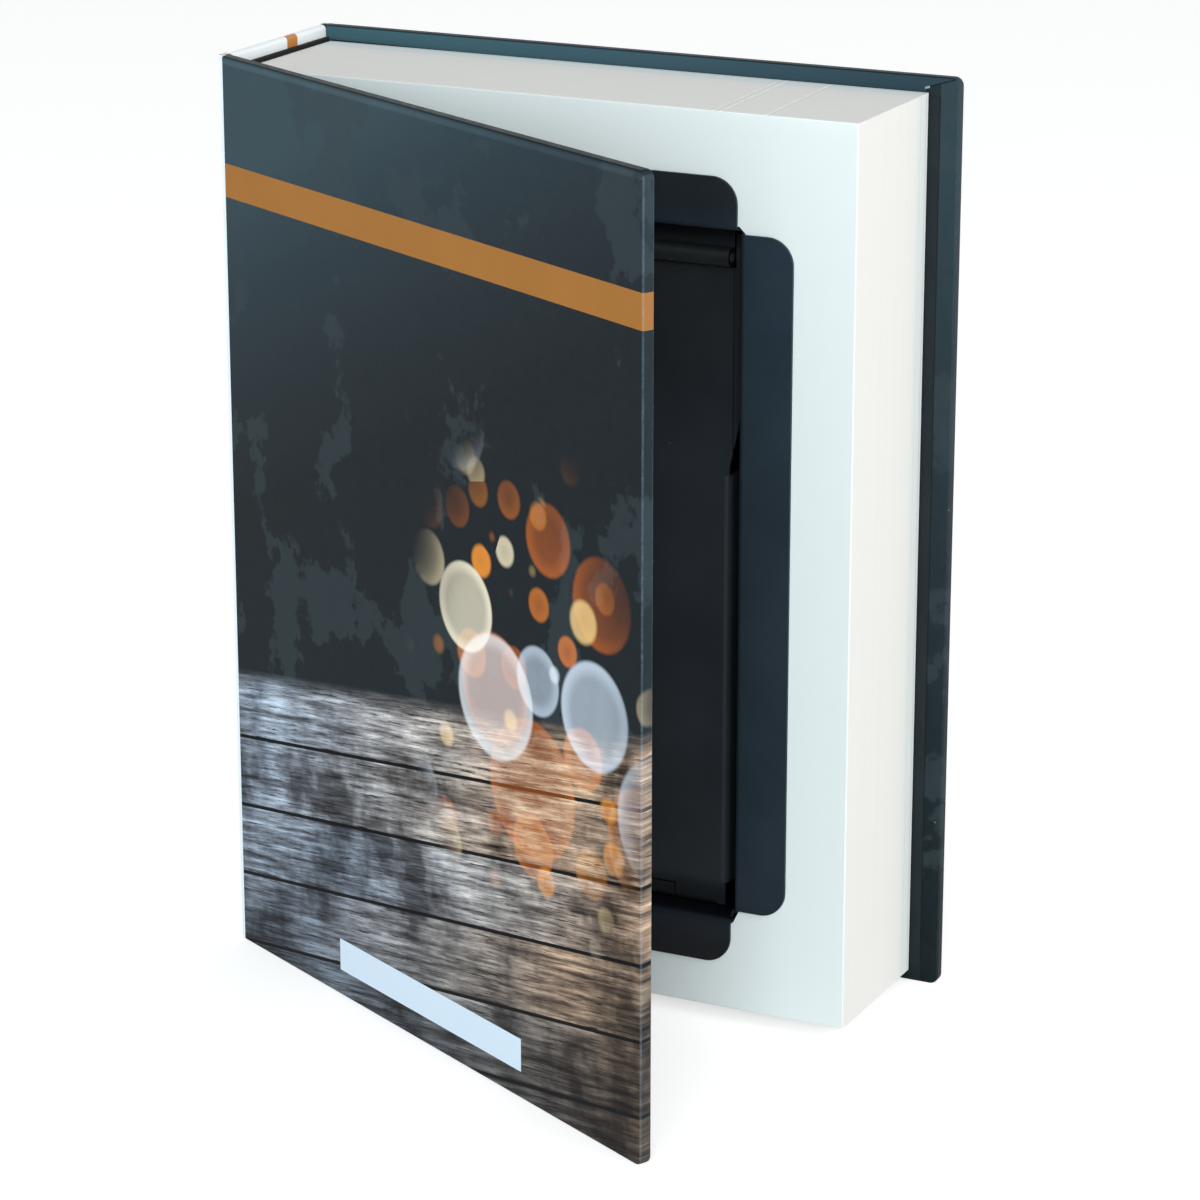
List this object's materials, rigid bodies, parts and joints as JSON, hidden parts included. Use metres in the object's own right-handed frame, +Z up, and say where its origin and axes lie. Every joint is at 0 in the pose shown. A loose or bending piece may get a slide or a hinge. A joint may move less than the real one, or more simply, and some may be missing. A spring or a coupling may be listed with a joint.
{
  "type": "book diversion safe",
  "caption": "Hardcover book whose glued page block hides a steel box; the cover swings open, and the box lid, hinged at its head, has a cam lock.",
  "frame": {"origin": "middle of the back cover's lower edge, where the book stands on a shelf", "axes": "+Z up along the height of the book, +X from the spine to the fore-edge, +Y out through the back cover; the front cover faces -Y"},
  "size_m": [0.2, 0.1541, 0.265],
  "materials": {
    "page_paper": "matte, cut page edges",
    "dark_print": "laminated print, satin",
    "white_print": "laminated print, satin",
    "dark_endpaper": "matte",
    "grey_board": "dense grey book board, matte",
    "black_lining": "matte spine lining cloth",
    "black_paint": "satin black powder coat on steel sheet",
    "plain_steel": "zinc plated",
    "lock_nickel": "nickel plated",
    "wafer_brass": "plain brass"
  },
  "bodies": {
    "book": {"page_block": "page_paper", "spine_wrap": "white_print", "spine_board": "grey_board", "spine_lining": "black_lining", "back_cover_wrap": "dark_print", "back_cover_board": "grey_board", "back_endpaper": "dark_endpaper", "steel_tray": "black_paint", "hinge_leaf": "black_paint", "hinge_pin": "plain_steel", "hinge_rivet_1": "plain_steel", "hinge_rivet_2": "plain_steel", "hinge_rivet_3": "plain_steel", "strike_plate": "black_paint", "strike_rivet_1": "plain_steel", "strike_rivet_2": "plain_steel"},
    "joint_strip": {"front_joint_strip": "white_print"},
    "front_cover": {"front_cover_wrap": "dark_print", "front_cover_board": "grey_board", "front_endpaper": "dark_endpaper"},
    "lid": {"lid_panel": "black_paint", "lock_housing": "lock_nickel", "lock_nut": "plain_steel"},
    "lock_core": {"lock_plug": "lock_nickel", "lock_wafer_1": "wafer_brass", "lock_wafer_2": "wafer_brass", "lock_wafer_3": "wafer_brass", "lock_wafer_4": "wafer_brass", "lock_wafer_5": "wafer_brass", "lock_cam": "plain_steel", "lock_cam_screw": "plain_steel"}
  },
  "joints": [
    {"name": "front_cover_opening", "type": "hinge", "parent": "book", "child": "joint_strip", "pos_m": [-0.1, -0.05465, 0.1325], "axis": [0, 0, -1], "range_deg": [0, 150]},
    {"name": "front_cover_closing", "type": "hinge", "parent": "joint_strip", "child": "front_cover", "pos_m": [-0.1, -0.0584, 0.1325], "axis": [0, 0, -1], "range_deg": [-28, 0]},
    {"name": "lid_hinge", "type": "hinge", "parent": "book", "child": "lid", "pos_m": [-0.0021, -0.0456, 0.2196], "axis": [-1, 0, 0], "range_deg": [0, 105]},
    {"name": "lock_turn", "type": "hinge", "parent": "lid", "child": "lock_core", "pos_m": [-0.0021, -0.0318, 0.0515], "axis": [0, 1, 0], "range_deg": [0, 90]}
  ],
  "couplings": [
    {"joint": "lid_hinge", "follows": "front_cover_opening", "ratio": 0.7}
  ]
}
